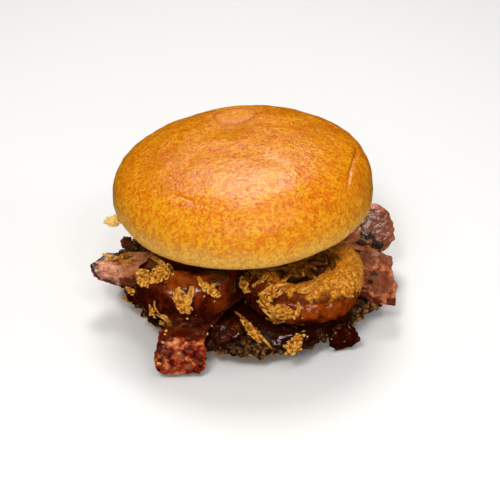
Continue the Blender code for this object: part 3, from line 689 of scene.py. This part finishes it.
# Each spot is x, y, z, a radius and a strength
rasherMarks = {
    "baconLower": {
        "node": "bacon_rasher_lower",
        "char": [(-67.5, -12, 23, 4.5, 1.0), (-64, -5, 24, 4.0, 0.9), (-56, -2.5, 24, 4.5, 1.1),
                 (56, -14.6, 20.7, 1.6, 1.3), (54, -19, 19.5, 1.4, 1.2), (58, -12, 21.5, 1.0, 1.0),
                 (-56, -13, 22, 0.8, 1.0), (-60, -12, 22.6, 0.7, 1.0), (-52, -16, 21, 0.9, 0.9),
                 (50, -24, 18, 2.5, 0.9)],
        "glazeAndShade": [(-59, -20, 20, 4.6, 1.3), (-52, -20, 20.5, 4.4, 1.3), (-46, -20, 20, 6, 1.2),
                  (-65, -17, 22, 3.6, 1.0), (51, -27, 17, 4.5, 1.1), (57, -28, 15.5, 4.0, 1.1),
                  (63, -27, 14.5, 3.6, 1.0), (48, -12, 21, 5, 0.8)],
        "fat": [(66, -20, 16, 1.6, 0.6), (67, -12, 18, 1.6, 0.6), (-64, -9, 23, 2.0, 0.3)],
        "smoke": [(54, -6, 23.5, 7, 0.9), (62, -6.5, 23.5, 7, 0.9), (-58, -6, 23, 3, 0.6),
                  (58, -18, 18, 10, 1.1)],
    },
    "baconUpper": {
        "node": "bacon_rasher_upper",
        "char": [(54.8, 14, 22.2, 4.5, 1.1), (58.6, 9.2, 20.4, 4.5, 1.2), (52, 9, 21, 4, 1.0),
                 (-35.6, -62, 10, 1.6, 0.9), (-17.5, -61, 10, 1.8, 0.8), (-34, -63, 2, 2.2, 0.9),
                 (-20, -63, 2, 2.2, 0.8), (-36, -58, 16, 1.6, 0.7)],
        # Glaze; the last four spots, under the rings, are painted shade
        "glazeAndShade": [(-32, -54, 18, 5, 1.1), (-22, -54, 18, 6, 1.2), (-16, -52, 17, 5, 1.1),
                  (-34.5, -60, 12, 3.2, 0.8), (-20, -62.5, 9, 3, 0.6), (-30, -63, 6, 2.5, 0.5),
                  (-12, -49, 19, 10, 1.6), (-2, -43, 22, 12, 1.6), (8, -36, 24, 12, 1.6),
                  (-6, -36, 24, 12, 1.6)],
        "fat": [(66.5, 22, 23.5, 2.2, 1.0), (68, 17, 22.5, 2.0, 1.0), (64.5, 26, 25, 2.2, 0.9),
                (67, 12.5, 21, 2.0, 0.9), (-28, -61.5, 11.5, 2.2, 0.5), (-24, -62.4, 7, 2.0, 0.5)],
        "smoke": [(57, 22, 25, 9, 1.5), (63, 22, 25.5, 8, 1.3), (62, 14, 22.5, 8, 1.4)],
    },
}


def baconFinish():
    finish = Finish("grilledBacon", "bacon", bacon["surface"])
    mottle, grain, broad = finish.clouds(bacon["clouds"])
    tone = mottle * 0.45 + broad * 0.55
    seared = finish.ramp(tone, bacon["seared"])
    meat = finish.blend(finish.layer("seared").clamped(), finish.ramp(tone, bacon["cured"]), seared)
    meat = finish.blend(finish.layer("smoke").clamped() * 0.85, meat, finish.blend(tone, *bacon["smoked"]))
    meat = finish.blend(finish.layer("fat").clamped(), meat, bacon["fat"])
    # Glaze, and painted shade under the rings
    meat = finish.blend(finish.layer("glazeAndShade").clamped() * 0.95, meat, finish.blend(broad, *bacon["glazeAndShadeTones"]))
    specks = finish.between(grain + broad * 0.5, *bacon["speckPatches"])
    # Specks, then painted shade in the hollows
    meat = finish.paintHollowShade(finish.blend(specks, meat, bacon["speck"]), bacon["gap"], 0.6)
    charred = (finish.layer("char") * (0.5 + grain)).clamped()
    finish.paint(Base_Color=finish.blend(charred, meat, bacon["char"]), Roughness=0.14 + 0.22 * grain)
    finish.bump((mottle, 0.45), (grain, 0.10))
    return finish


def makeRashers(finish):
    for name, marks in rasherMarks.items():
        bm = remeshed(copyOfNode(marks["node"]), bacon["voxel"], bacon["smoothing"])

        def depthAt(place, normal):
            tail = smoothStep(*bacon["tailFrom"], place.y)
            rim = (1 - max(abs(normal.z), abs(normal.y) * tail)) * waves(place, bacon["rimWaves"])
            return sum(((low + more * tail) * ripple(place, grain, seed)
                        for low, more, grain, seed in bacon["faceWaves"]), rim)
        relief(bm, depthAt)
        layers = {layer: spotsAt(marks[layer]) for layer in ("char", "glazeAndShade", "fat", "smoke")}
        layers["seared"] = lambda place: smoothStep(*bacon["searedFrom"], place.y)
        addPiece(name, bm, finish, [marks["node"]], layers)


baconLook = baconFinish()
makeRashers(baconLook)
scrap = remeshed(copyOfNode("bacon_scrap_left"), scrapMarks["voxel"], scrapMarks["smoothing"])
relief(scrap, lambda place, normal: waves(place, scrapMarks["waves"]) + lumpy(place, *scrapMarks["lumps"]))
addPiece("baconScrap", scrap, baconLook, ["bacon_scrap_left"],
         {"smoke": lambda place: 1.1, "char": lambda place: 0.6 + 1.5 * ripple(place, 3.0)})
print("bacon made")


# Onion rings
ring = {
    "voxel": 0.5,
    "smoothing": 6,
    "coarse": [(0.5, 4.0, 0), (0.35, 1.6, 3)],
    "lumps": (0.45, 1.5, 0.5),
    "fine": [(0.15, 0.8, 6)],
    "surface": {"Specular IOR Level": 0.45, "Specular Tint": (1.0, 0.8, 0.55, 1)},
    "clouds": {"grain": (0.95, 4, 0.68, 0.3), "patches": (3.6, 3, 0.55)},
    "cells": 0.45,
    "batter": [(0.34, (0.26, 0.060, 0.002)), (0.45, (0.58, 0.180, 0.005)),
               (0.55, (0.80, 0.32, 0.016)), (0.66, (0.94, 0.58, 0.130))],
    "brown": (0.48, 0.125, 0.003),
    "brownPatches": (0.48, 0.62, 0.5),
    "gap": (0.20, 0.045, 0.002),
}
soaked = [(4, -43, 32, 9, 1.3), (12, -50, 30, 9, 1.3), (22, -52, 29, 8, 1.1), (32, -53, 28, 8, 1.1),
          (41, -48, 27, 7, 1.1), (1, -34, 30, 9, 1.2), (46, -42, 26, 6, 1.0), (33, -50, 33, 4, 0.8),
          (22, -50, 33, 4, 0.9)]


def batterFinish():
    finish = Finish("friedBatter", "onion_ring_batter", ring["surface"])
    grain, patches = finish.clouds(ring["clouds"])
    colour = finish.ramp(grain, ring["batter"])
    colour = finish.blend(finish.between(patches, *ring["brownPatches"]), colour, ring["brown"])
    wet = (finish.layer("soaked") + (patches - 0.5) * 0.9).clamped()
    colour = finish.blend(wet, colour, finish.blend(grain, sauceColours["deep"], sauceColours["warm"]))
    # Painted shade in the hollows of the batter
    colour = finish.paintHollowShade(colour, ring["gap"], 0.5)
    finish.paint(Base_Color=colour, Roughness=0.38 + 0.3 * grain - 0.35 * wet)
    finish.bump((finish.cells(ring["cells"]), 0.16), (grain, 0.22))
    return finish


def makeRings(finish):
    for name, node in (("onionRingLeft", "onion_ring_left"), ("onionRingRight", "onion_ring_right")):
        bm = remeshed(copyOfNode(node), ring["voxel"], ring["smoothing"])

        def depthAt(place, normal):
            craggy = waves(place, ring["coarse"]) + lumpy(place, *ring["lumps"])
            return craggy + waves(place, ring["fine"])
        relief(bm, depthAt)
        leftRing = node.endswith("left")
        layers = {"soaked": (lambda place: 1.2) if leftRing else spotsAt(soaked)}
        addPiece(name, bm, finish, [node], layers)


makeRings(batterFinish())
print("rings made")


# Sauce
sauce = {
    "coatVoxel": 0.4,
    "coatSmoothing": 5,
    "coatWaves": [(0.5, 6, 0)],
    "glintGrain": 2.2,
    "poolVoxel": 0.33,
    "poolSmoothing": 4,
    "poolWaves": [(0.5, 2.6, 2)],
    "rimGrain": 2.0,
    "rimRipple": {"flap": 1.6, "pool": 0.4},
    "surface": {"Specular IOR Level": 1.0, "Specular Tint": (1.0, 0.97, 0.95, 1),
                "Coat Weight": 0.6, "Coat Roughness": 0.03},
    "clouds": {"flow": (2.6, 3, 0.5, 0.6), "grain": (0.8, 3, 0.6)},
    "stops": (0.0, 0.25, 0.6, 1.0),
    "thinLeft": [(-29, -47, 37, 10, 0.65), (-20, -49, 36, 9, 0.50), (-12, -51, 33, 7, 0.35),
                 (-36, -45, 32, 6, 0.30)],
    "glints": [(-15, -50, 38, 8, 1.2), (-34, -42, 34, 6, 0.8), (16, -53, 31, 6, 1.0),
               (27, -54, 29, 6, 1.0), (35, -54, 28, 6, 1.0), (42, -49, 26, 5, 1.0)],
    "thinRight": [(17, -53, 29, 9, 0.45), (26, -53, 30, 8, 0.65), (35, -52, 29, 8, 0.60),
                  (42, -48, 28, 7, 0.50)],
}


def sauceFinish():
    finish = Finish("barbecueSauce", "barbecue_sauce", sauce["surface"])
    flow, grain = finish.clouds(sauce["clouds"])
    thin = (finish.layer("thin") + (flow - 0.5) * 0.9 + (grain - 0.5) * 0.15).clamped()
    colour = finish.ramp(thin, list(zip(sauce["stops"], sauceColours.values())))
    finish.paint(Base_Color=colour, Roughness=0.05 + 0.10 * grain)
    finish.bump((flow, 0.35), (grain, 0.08))
    return finish


sauceLook = sauceFinish()


def makeCoats(finish):
    glintAt = spotsAt(sauce["glints"])
    for name, node, thin in (("sauceCoatLeft", "sauce_coat_left", sauce["thinLeft"]),
                             ("sauceCoatRight", "sauce_coat_right", sauce["thinRight"])):
        bm = remeshed(copyOfNode(node), sauce["coatVoxel"], sauce["coatSmoothing"])
        relief(bm, lambda place, normal: 0.15 + waves(place, sauce["coatWaves"])
               + (0.25 + 0.35 * glintAt(place)) * ripple(place, sauce["glintGrain"], 3))
        thinAt = spotsAt(thin, 0.5, 4.0)
        addPiece(name, bm, finish, [node], {"thin": lambda place: 0.10 + thinAt(place)})


def makePools(finish):
    for name, node in (("saucePoolLeft", "sauce_pool_left"), ("sauceDropFront", "sauce_drop_front"),
                       ("sauceDripMiddle", "sauce_drip_middle"), ("sauceDripRight", "sauce_drip_right"),
                       ("sauceFlapRight", "sauce_flap_right")):
        bm = remeshed(copyOfNode(node), sauce["poolVoxel"], sauce["poolSmoothing"])
        ragged = sauce["rimRipple"]["flap" if node.endswith("flap_right") else "pool"]
        relief(bm, lambda place, normal: 0.2 + waves(place, sauce["poolWaves"])
               + ragged * (1 - abs(normal.z)) * ripple(place, sauce["rimGrain"], 5))
        addPiece(name, bm, finish, [node], {"thin": lambda place: 0.03})


makeCoats(sauceLook)
makePools(sauceLook)
print("sauce made")


# Crispy onion
onion = {
    "voxel": 0.33,
    "shredThickness": 0.42,
    "crinkle": 0.35,
    "taper": 0.5,
    "flakeLumps": (1.1, 2.3, 0.4),
    "flakeWaves": [(0.7, 2.2), (0.35, 1.0)],
    "tuftVoxel": 0.4,
    "tuftWaves": [(0.5, 2.0, 0), (0.25, 1.0, 4)],
    "heapVoxel": 0.6,
    "heapWaves": [(0.6, 3.0, 0), (0.3, 1.2, 4)],
    "surface": {"Specular IOR Level": 0.5, "Specular Tint": (1.0, 0.8, 0.55, 1)},
    "clouds": {"grain": (1.5, 2, 0.5, 0.3), "patches": (3.0, 2, 0.5), "fine": (0.5, 2)},
    "crisp": [(0.36, (0.26, 0.064, 0.002)), (0.45, (0.50, 0.150, 0.004)),
              (0.54, (0.70, 0.27, 0.014)), (0.65, (0.90, 0.52, 0.100))],
    "brown": (0.40, 0.105, 0.003),
    "brownPatches": (0.50, 0.62, 0.5),
    "gap": (0.070, 0.015, 0.0005),
    "litCrest": (0.95, 0.60, 0.16),
    "litCrestRange": (0.25, 0.9, 0.5),
    "shadow": (0.040, 0.010, 0.001),
    "toCamera": (Vector(view["standAt"]) - Vector(view["lookAt"])).normalized(),
    "lowestShred": 32,
    "tuftDeepBelow": (36.0, 33.0),
    "tuftDeepBehind": (-45, -37),
    "heapDeepBelow": (36, 24),
}
# Ranges that the loose shreds of the tufts and of the heap are drawn from, angles in degrees
looseTuft = {
    "rise": (-2.5, 3.5),
    "heading": (-80, 25),
    "length": (3.5, 9),
    "bow": (-1.5, 1.5),
    "lift": (0.3, 1.6),
    "width": (1.0, 2.4),
    "twist": (-1.2, 1.2),
}
looseHeap = {
    "count": 190,
    "middle": Vector((-1.2, 20.8, 0)),
    "reach": 70,
    "heading": (-30, 210),
    "level": (26, 40),
    "slant": (-5, 5),
    "bulge": (0.3, 1.8),
    "rise": (-1.5, 1),
    "endOut": (-0.5, 1.2),
    "droop": (0.5, 4),
    "width": (1.0, 2.6),
    "twist": (-1.2, 1.2),
}
flakeTwist = (-0.9, 0.9)
ribbonSeeds = (0, 50)
# Shreds: places in mm right of, above the middle of the view and off what lies there, then the width
flakeShreds = {
    "LeftEdge": [([(-49, -9, 1), (-47, -13, 2), (-46, -16, 1)], 2.2),
                 ([(-50, -11, 0.5), (-46, -9, 1.5)], 1.8)],
    "LeftLarge": [([(-43, -3, 1), (-39, -6, 2.4), (-36, -9, 1.4), (-37, -13, 1)], 2.4),
                  ([(-41, -9, 2), (-36, -7, 2.4), (-34, -11, 1)], 2.0),
                  ([(-42, -13, 1), (-38, -11, 2.2)], 2.2)],
    "LeftForked": [([(-31, -17, 1.6), (-31.5, -21, 1.4), (-29, -25, 1)], 2.4),
                   ([(-25.5, -16, 1.4), (-26.5, -21, 2.0), (-28, -25, 1)], 2.4),
                   ([(-34, -21, 0.8), (-31, -22, 1.5)], 1.4)],
    "LeftCurl": [([(-23, -12, 1.2), (-20, -16, 2.2), (-16, -19, 1.2), (-13.5, -19, 0.8)], 2.2),
                 ([(-20, -18, 0.8), (-17, -16, 2.2), (-15, -15, 0.8)], 1.5)],
    "MiddleTop": [([(-4, -12, 1.2), (-3, -16, 1.6), (-2, -19, 0.8)], 1.8),
                  ([(-1, -14, 0.5), (-3, -18, 1.6)], 1.4)],
    "RightTwist": [([(4, -20.5, 1), (8, -17.6, 2.2), (13, -16, 2), (16, -15.4, 1)], 2.2),
                   ([(3.5, -18.3, 1), (6, -22.7, 2.4), (11, -25.5, 1.8), (15.4, -25.5, 1)], 1.9),
                   ([(1, -16, 0.6), (6.6, -12, 1.6), (7.5, -10, 1)], 1.7),
                   ([(9, -21, 1), (13, -19, 2.6), (15, -17, 1)], 1.8)],
    "RightLoop": [([(3, -22.4, 1), (7.3, -24.9, 2.6), (13.2, -27.9, 2.4), (19.8, -28.6, 2), (21.6, -25.5, 2),
                    (21.1, -22.7, 1.4)], 1.7),
                  ([(8, -27, 1), (13, -30, 2.2), (18, -29.6, 1.6)], 1.6),
                  ([(5, -25.5, 1), (9, -29, 2.0), (12, -32, 0.8)], 1.5)],
    "RightPale": [([(7, -29.5, 0.8), (11, -31.6, 1.6), (15, -31, 0.8)], 1.8)],
    "FrontLong": [([(-6.5, -27, 0.5), (-2, -31, 1.6), (2, -35.6, 1.4), (6, -40, 1.2)], 1.3),
                  ([(0, -34.5, 0.8), (5, -38, 2.0), (10, -44, 0.8)], 1.4)],
    "FrontRight": [([(15, -43, 1), (19, -40, 1.8), (24, -35.6, 1)], 1.5)],
    "LeftLow": [([(-41, -28, 0.6), (-37, -30, 1.6), (-35, -33, 0.6)], 1.8)],
    "LeftStem": [([(-42, -22, 0.6), (-42, -25, 1.2), (-40, -28, 0.6)], 1.3)],
    "LeftRear": [([(-65, -1.6, 0.5), (-59, -3.4, 1.1), (-53, -1.4, 0.7)], 1.5),
                 ([(-60, -3, 0.6), (-54, -5, 1.1), (-50, -4, 0.6)], 1.2)],
    "PattyEdge": [([(-57, -20, 0.4), (-54, -22, 1.0), (-52, -23, 0.4)], 1.3)],
}
tuftShreds = {
    "crispyTuftRight": {"node": "crispy_onion_tuft_right", "count": 44, "from": (2, 35), "slope": 0.13,
                        "start": -6.5,
                        "strokes": [([(19, -7, 1), (24, -9, 1.6), (29, -12.4, 1)], 1.6),
                                    ([(22, -5.4, 1), (27, -6, 1.8), (30, -10, 1)], 1.5),
                                    ([(28, -5, 1), (33, -5.6, 1.8), (36, -8, 1)], 1.4),
                                    ([(20.6, -12, 1.4), (25, -11.4, 2.2), (29, -12.8, 1)], 1.3),
                                    ([(8, -8.6, 1), (13, -11, 1.8), (18, -14, 1)], 3.6),
                                    ([(14, -8, 1.4), (17, -11, 2.2), (18.4, -14, 1.4)], 2.4),
                                    ([(21, -18.3, 1), (25.5, -17.6, 1.8), (31, -13.2, 1)], 2.4)]},
    "crispyTuftMiddle": {"node": "crispy_onion_tuft_middle", "count": 12, "from": (-5, 4), "slope": 0.0,
                         "start": -8.5,
                         "strokes": [([(-3, -9, 1), (-2, -12, 1.6), (-3, -15, 1)], 1.8)]},
}


def onionFinish():
    finish = Finish("crispyOnion", "crispy_onion", onion["surface"])
    grain, patches, fine = finish.clouds(onion["clouds"])
    colour = finish.ramp(grain * 0.85 + fine * 0.15, onion["crisp"])
    colour = finish.blend(finish.between(patches, *onion["brownPatches"]), colour, onion["brown"])
    # Painted shade in the hollows, then painted light on the crests
    colour = finish.paintHollowShade(colour, onion["gap"], 1.1)
    litCrests = finish.between(-1 * finish.layer("hollow"), *onion["litCrestRange"])
    colour = finish.blend(litCrests, colour, onion["litCrest"])
    colour = finish.blend(finish.layer("deep").clamped() * 0.9, colour, onion["shadow"])
    finish.paint(Base_Color=colour, Roughness=0.30 + 0.25 * grain)
    finish.bump((grain, 0.45), (fine, 0.10))
    return finish


onionLook = onionFinish()
underShreds = treeOf([name for name in nodes if not name.startswith(("crispy_", "bun_cro", "bun_cru"))])


def onSurface(x, up, lift, lowest=None):
    # The place in mm that shows x right of and up above the middle of the view, lifted towards it
    stand = Vector(view["standAt"])
    across = Vector((1, 0, 0))
    rise = onion["toCamera"].cross(across).normalized()
    aim = Vector(view["lookAt"]) + across * x + rise * up
    sight = (aim - stand).normalized()
    found = underShreds.ray_cast(stand * mm, sight)[0]
    place = found / mm if found else aim
    if lowest is not None and place.z < lowest:
        place -= sight * (lowest - place.z) / -sight.z
    return place - sight * lift


def crispCore(node, seed):
    bm = remeshed(copyOfNode(node), onion["voxel"], 2)

    def depthAt(place, normal):
        lumps = lumpy(place, *onion["flakeLumps"], seed)
        return sum((height * ripple(place, grain, seed) for height, grain in onion["flakeWaves"]), lumps)
    relief(bm, depthAt)
    return bm


def makeFlakes(finish):
    draw = random.Random(40)
    for index, (word, strokes) in enumerate(flakeShreds.items()):
        # LeftEdge is the piece of the node crispy_flake_left_edge
        letters = ["_" + letter.lower() if letter.isupper() else letter for letter in word]
        node = "crispy_flake" + "".join(letters)
        bm = crispCore(node, index * 3.1)
        for stroke, width in strokes:
            points = [onSurface(*spot) for spot in stroke]
            ribbon(bm, points, width, onion["shredThickness"], onion["toCamera"], draw.uniform(*flakeTwist),
                   onion["crinkle"], draw.uniform(*ribbonSeeds), 12, onion["taper"])
        addPiece("crispyFlake" + word, bm, finish, [node])


def makeTufts(finish):
    draw = random.Random(11)
    for name, tuft in tuftShreds.items():
        bm = remeshed(copyOfNode(tuft["node"]), onion["tuftVoxel"], 1)
        relief(bm, lambda place, normal: waves(place, onion["tuftWaves"]))
        strokes = list(tuft["strokes"])
        for turn in range(tuft["count"]):
            x = draw.uniform(*tuft["from"])
            up = tuft["start"] + tuft["slope"] * x + draw.uniform(*looseTuft["rise"])
            heading = math.radians(draw.uniform(*looseTuft["heading"]))
            length = draw.uniform(*looseTuft["length"])
            bow = draw.uniform(*looseTuft["bow"])
            way = (math.cos(heading), math.sin(heading))
            spots = []
            for share, bend in ((0, 0), (0.5, 1), (1, 0)):
                spots.append((x + way[0] * length * share - way[1] * bow * bend,
                              up + way[1] * length * share + way[0] * bow * bend,
                              draw.uniform(*looseTuft["lift"])))
            strokes.append((spots, draw.uniform(*looseTuft["width"])))
        for spots, width in strokes:
            points = [onSurface(*spot, onion["lowestShred"]) for spot in spots]
            twist = draw.uniform(*looseTuft["twist"])
            ribbon(bm, points, width, onion["shredThickness"], onion["toCamera"], twist,
                   onion["crinkle"], draw.uniform(*ribbonSeeds), 10, onion["taper"])
        # Dark low down and far back, in the shade of the crown
        addPiece(name, bm, finish, [tuft["node"]], {
            "deep": lambda place: max(smoothStep(*onion["tuftDeepBelow"], place.z),
                                      0.75 * smoothStep(*onion["tuftDeepBehind"], place.y)),
        })


def makeHeap(finish):
    # The heap between the patty and the crown, with shreds that hang out of it all round
    draw = random.Random(7)
    up = Vector((0, 0, 1))
    bm = remeshed(copyOfNode("crispy_onion_heap"), onion["heapVoxel"], 1)
    relief(bm, lambda place, normal: waves(place, onion["heapWaves"]))
    skin = treeOf(["crispy_onion_heap"])
    for turn in range(looseHeap["count"]):
        heading = math.radians(draw.uniform(*looseHeap["heading"]))
        out = Vector((math.cos(heading), math.sin(heading), 0))
        side = Vector((-out.y, out.x, 0))
        level = draw.uniform(*looseHeap["level"])
        outside = looseHeap["middle"] + up * level + out * looseHeap["reach"]
        found = skin.ray_cast(outside * mm, -out)[0]
        if found is None:
            continue
        start = found / mm
        slant = draw.uniform(*looseHeap["slant"])
        root = start - out - side * slant
        bulge = start + out * draw.uniform(*looseHeap["bulge"]) + up * draw.uniform(*looseHeap["rise"])
        endOut = draw.uniform(*looseHeap["endOut"])
        tip = start + out * endOut + side * slant - up * draw.uniform(*looseHeap["droop"])
        width = draw.uniform(*looseHeap["width"])
        twist = draw.uniform(*looseHeap["twist"])
        ribbon(bm, [root, bulge, tip], width, onion["shredThickness"], out, twist,
               onion["crinkle"], draw.uniform(*ribbonSeeds), 8, onion["taper"])
    # Painted shade, darker low down in the heap
    addPiece("crispyHeap", bm, finish, ["crispy_onion_heap"], {
        "deep": lambda place: 0.6 * smoothStep(*onion["heapDeepBelow"], place.z),
    })


makeFlakes(onionLook)
makeTufts(onionLook)
makeHeap(onionLook)


# Crumbs of onion too small for the model, strewn over what lies under the crown
crumbs = {
    "count": 64,
    "pointsEach": 12,
    "lift": 0.1,
    "lowest": 3,
    "size": (0.25, 0.8),
    "across": (-58, 56),
    "up": (-50, 2),
    "clusterSize": 8,
    "clusterFrom": 0.12,
    "waves": [(0.25, 0.5, 0)],
}
bunCrumb = {
    "voxel": 0.25,
    "waves": [(0.6, 1.2, 0)],
    "lumps": (1.1, 1.5, 0.4),
    "surface": {"Roughness": 0.8},
    "patchSize": 0.8,
    "crust": (0.70, 0.40, 0.07),
    "pale": (0.92, 0.66, 0.22),
}


def makeCrumbs(finish):
    draw = random.Random(3)
    bm = bmesh.new()
    while crumbs["count"] * crumbs["pointsEach"] > len(bm.verts):
        x, up = draw.uniform(*crumbs["across"]), draw.uniform(*crumbs["up"])
        place = onSurface(x, up, crumbs["lift"])
        afloat = underShreds.find_nearest(place * mm)[3] > 2 * crumbs["lift"] * mm
        sparse = noise.noise(Vector((x, up, 0)) / crumbs["clusterSize"]) < crumbs["clusterFrom"]
        if afloat or place.z < crumbs["lowest"] or sparse:
            continue
        size = draw.uniform(*crumbs["size"])
        stretch = Matrix.Diagonal((draw.uniform(0.6, 1.6), draw.uniform(0.6, 1.4), 0.7, 1))
        turn = (Matrix.Rotation(draw.uniform(0, math.tau), 4, "Z")
                @ Matrix.Rotation(draw.uniform(-1, 1), 4, "X"))
        bmesh.ops.create_icosphere(bm, subdivisions=1, radius=size * mm,
                                   matrix=Matrix.Translation(place * mm) @ turn @ stretch)
    relief(bm, lambda place, normal: waves(place, crumbs["waves"]))
    addPiece("onionCrumbs", bm, finish)


makeCrumbs(onionLook)
crumbFinish = Finish("paleCrumb", "bun_crumb", bunCrumb["surface"])
crumbColour = crumbFinish.blend(crumbFinish.cloud(bunCrumb["patchSize"]), bunCrumb["crust"], bunCrumb["pale"])
crumbFinish.paint(Base_Color=crumbColour)
crumb = remeshed(copyOfNode("bun_crumb_left"), bunCrumb["voxel"], 1)
relief(crumb, lambda place, normal: 0.2 + lumpy(place, *bunCrumb["lumps"]) + waves(place, bunCrumb["waves"]))
addPiece("bunCrumb", crumb, crumbFinish, ["bun_crumb_left"])
print("onion and crumbs made")
